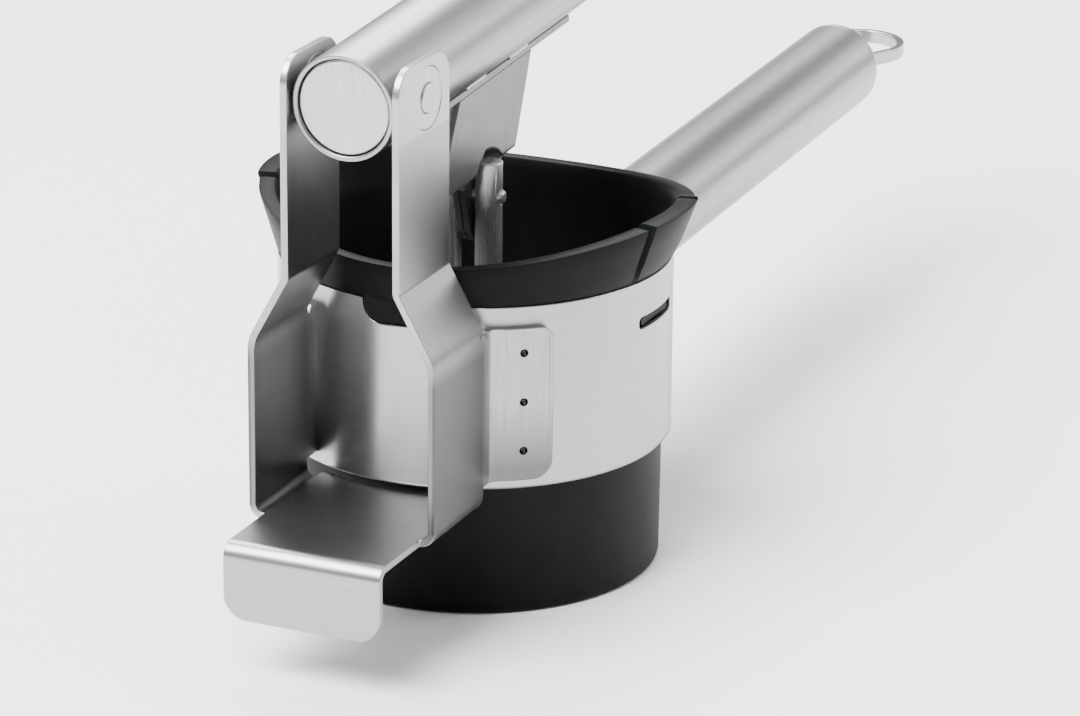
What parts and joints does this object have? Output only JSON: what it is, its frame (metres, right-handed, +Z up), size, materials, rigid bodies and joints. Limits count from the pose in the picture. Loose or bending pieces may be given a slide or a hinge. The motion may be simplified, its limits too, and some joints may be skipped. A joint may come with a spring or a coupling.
{
  "type": "potato ricer",
  "caption": "Hand-held potato ricer: a removable black cup in a steel ring, a folded yoke with a pot hook, and a lever that drives a press disc down the cup.",
  "frame": {"origin": "centre of the cup's underside, on the cup's axis", "axes": "+Z up along the cup's axis; +X towards the ends of the two handles, with the yoke and its pot hook at -X; +Y completes the right-handed frame; modelled with the handles closed"},
  "size_m": [0.3189, 0.0902, 0.1356],
  "materials": {
    "brushed_sheet": "brushed sheet steel with a visible grain",
    "satin_tube": "fine satin tube, slightly grained along its length",
    "satin_cap": "fine satin, turned",
    "link_sheet": "smooth cold-rolled sheet steel",
    "turned_steel": "bright turned bar",
    "eye_strip": "polished strip",
    "pressed_steel": "pressed sheet steel, satin",
    "weld_metal": "small weld beads with a warm heat tint",
    "black_plastic": "fine-textured black moulded plastic"
  },
  "bodies": {
    "frame": {"holder_ring": "brushed_sheet", "yoke_bracket": "brushed_sheet", "ricer_cup": "black_plastic", "strainer_disc": "pressed_steel", "lower_handle_tube": "satin_tube", "lower_handle_end_cap": "satin_tube", "hanging_eye": "eye_strip", "pivot_axle": "turned_steel", "pivot_bush_left": "satin_cap", "pivot_bush_right": "satin_cap"},
    "lever": {"upper_handle_tube": "satin_tube", "upper_handle_front_cap": "satin_cap", "upper_handle_end_cap": "satin_tube", "pivot_sleeve": "turned_steel", "press_link": "link_sheet", "link_weld_beads": "weld_metal"},
    "plunger": {"plunger_rod_left": "turned_steel", "plunger_rod_right": "turned_steel", "link_pin": "turned_steel", "press_disc": "pressed_steel"}
  },
  "joints": [
    {"name": "handle_hinge", "type": "hinge", "parent": "frame", "child": "lever", "pos_m": [-0.0493, 0, 0.11], "axis": [0, -1, 0], "range_deg": [0, 84]},
    {"name": "plunger_hinge", "type": "hinge", "parent": "lever", "child": "plunger", "pos_m": [-0.00381, 0, 0.07699], "axis": [0, -1, 0], "range_deg": [-84, 0]}
  ],
  "couplings": [
    {"joint": "plunger_hinge", "follows": "handle_hinge", "ratio": -1}
  ]
}
